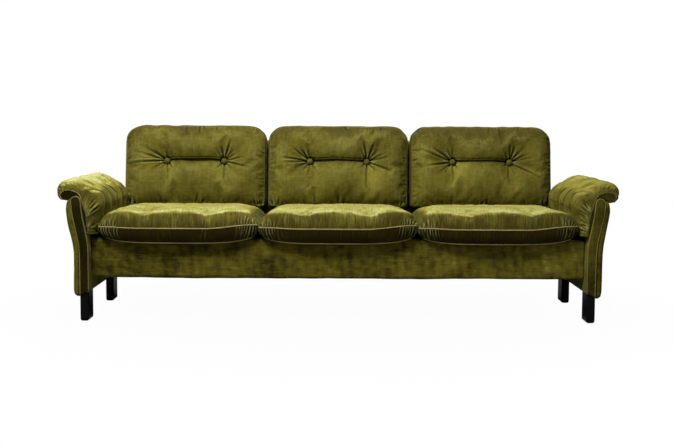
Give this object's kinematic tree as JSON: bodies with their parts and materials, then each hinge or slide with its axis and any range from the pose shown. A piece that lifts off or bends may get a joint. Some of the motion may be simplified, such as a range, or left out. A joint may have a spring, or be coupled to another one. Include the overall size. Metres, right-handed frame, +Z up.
{
  "type": "three-seat sofa",
  "caption": "Green velvet three-seat sofa with loose piped seat cushions, button-tufted back cushions, channelled roll-over arm pads and flat black feet.",
  "frame": {"origin": "on the floor, under the middle of the sofa's bounding box", "axes": "+X to the right as seen from the front, along the sofa's length; +Y to the rear; +Z up; the sofa faces -Y"},
  "size_m": [2.271, 0.8063, 0.7791],
  "materials": {
    "moss_velvet": "matte",
    "button_velvet": "matte",
    "black_lacquer": "satin",
    "beech": "matte",
    "particle_board": "matte",
    "webbing": "matte",
    "lining_cloth": "matte",
    "zinc_steel": "satin"
  },
  "bodies": {
    "frame": {"front_apron": "moss_velvet", "back_cover": "moss_velvet", "arm_cover_left": "moss_velvet", "arm_outer_pad_left": "moss_velvet", "arm_pad_left": "moss_velvet", "arm_cover_right": "moss_velvet", "arm_outer_pad_right": "moss_velvet", "arm_pad_right": "moss_velvet", "leg_left_front": "black_lacquer", "leg_left_rear": "black_lacquer", "leg_right_front": "black_lacquer", "leg_right_rear": "black_lacquer", "front_rail": "beech", "rear_rail": "beech", "end_rail_left": "beech", "end_rail_right": "beech", "cross_rail_left": "beech", "cross_rail_right": "beech", "corner_block_left_front": "beech", "corner_block_left_rear": "beech", "corner_block_right_front": "beech", "corner_block_right_rear": "beech", "back_post_1": "beech", "back_post_2": "beech", "back_post_3": "beech", "back_post_4": "beech", "back_top_rail": "beech", "arm_core_left": "particle_board", "arm_core_right": "particle_board", "seat_webbing_left_1": "webbing", "seat_webbing_left_2": "webbing", "seat_webbing_middle_1": "webbing", "seat_webbing_middle_2": "webbing", "seat_webbing_right_1": "webbing", "seat_webbing_right_2": "webbing", "back_webbing_1": "webbing", "back_webbing_2": "webbing", "back_webbing_3": "webbing", "seat_deck": "lining_cloth", "dust_cover": "lining_cloth", "arm_bolt_left_front": "zinc_steel", "arm_bolt_left_rear": "zinc_steel", "arm_bolt_right_front": "zinc_steel", "arm_bolt_right_rear": "zinc_steel", "post_bolt_1": "zinc_steel", "post_bolt_2": "zinc_steel", "post_bolt_3": "zinc_steel", "post_bolt_4": "zinc_steel"},
    "seat_cushion_left": {"seat_cushion_left": "moss_velvet"},
    "back_cushion_left": {"back_cushion_left": "moss_velvet", "button_left_left": "button_velvet", "button_left_right": "button_velvet"},
    "seat_cushion_middle": {"seat_cushion_middle": "moss_velvet"},
    "back_cushion_middle": {"back_cushion_middle": "moss_velvet", "button_middle_left": "button_velvet", "button_middle_right": "button_velvet"},
    "seat_cushion_right": {"seat_cushion_right": "moss_velvet"},
    "back_cushion_right": {"back_cushion_right": "moss_velvet", "button_right_left": "button_velvet", "button_right_right": "button_velvet"}
  },
  "joints": [
    {"name": "seat_cushion_left_slide", "type": "slide", "parent": "frame", "child": "seat_cushion_left", "axis": [0, -0.9994, 0.0349], "range_m": [0, 0.7]},
    {"name": "seat_cushion_middle_slide", "type": "slide", "parent": "frame", "child": "seat_cushion_middle", "axis": [0, -0.9994, 0.0349], "range_m": [0, 0.7]},
    {"name": "seat_cushion_right_slide", "type": "slide", "parent": "frame", "child": "seat_cushion_right", "axis": [0, -0.9994, 0.0349], "range_m": [0, 0.7]},
    {"name": "back_cushion_left_lift", "type": "slide", "parent": "frame", "child": "back_cushion_left", "axis": [0, 0.1736, 0.9848], "range_m": [0, 0.4]},
    {"name": "back_cushion_middle_lift", "type": "slide", "parent": "frame", "child": "back_cushion_middle", "axis": [0, 0.1736, 0.9848], "range_m": [0, 0.4]},
    {"name": "back_cushion_right_lift", "type": "slide", "parent": "frame", "child": "back_cushion_right", "axis": [0, 0.1736, 0.9848], "range_m": [0, 0.4]}
  ]
}
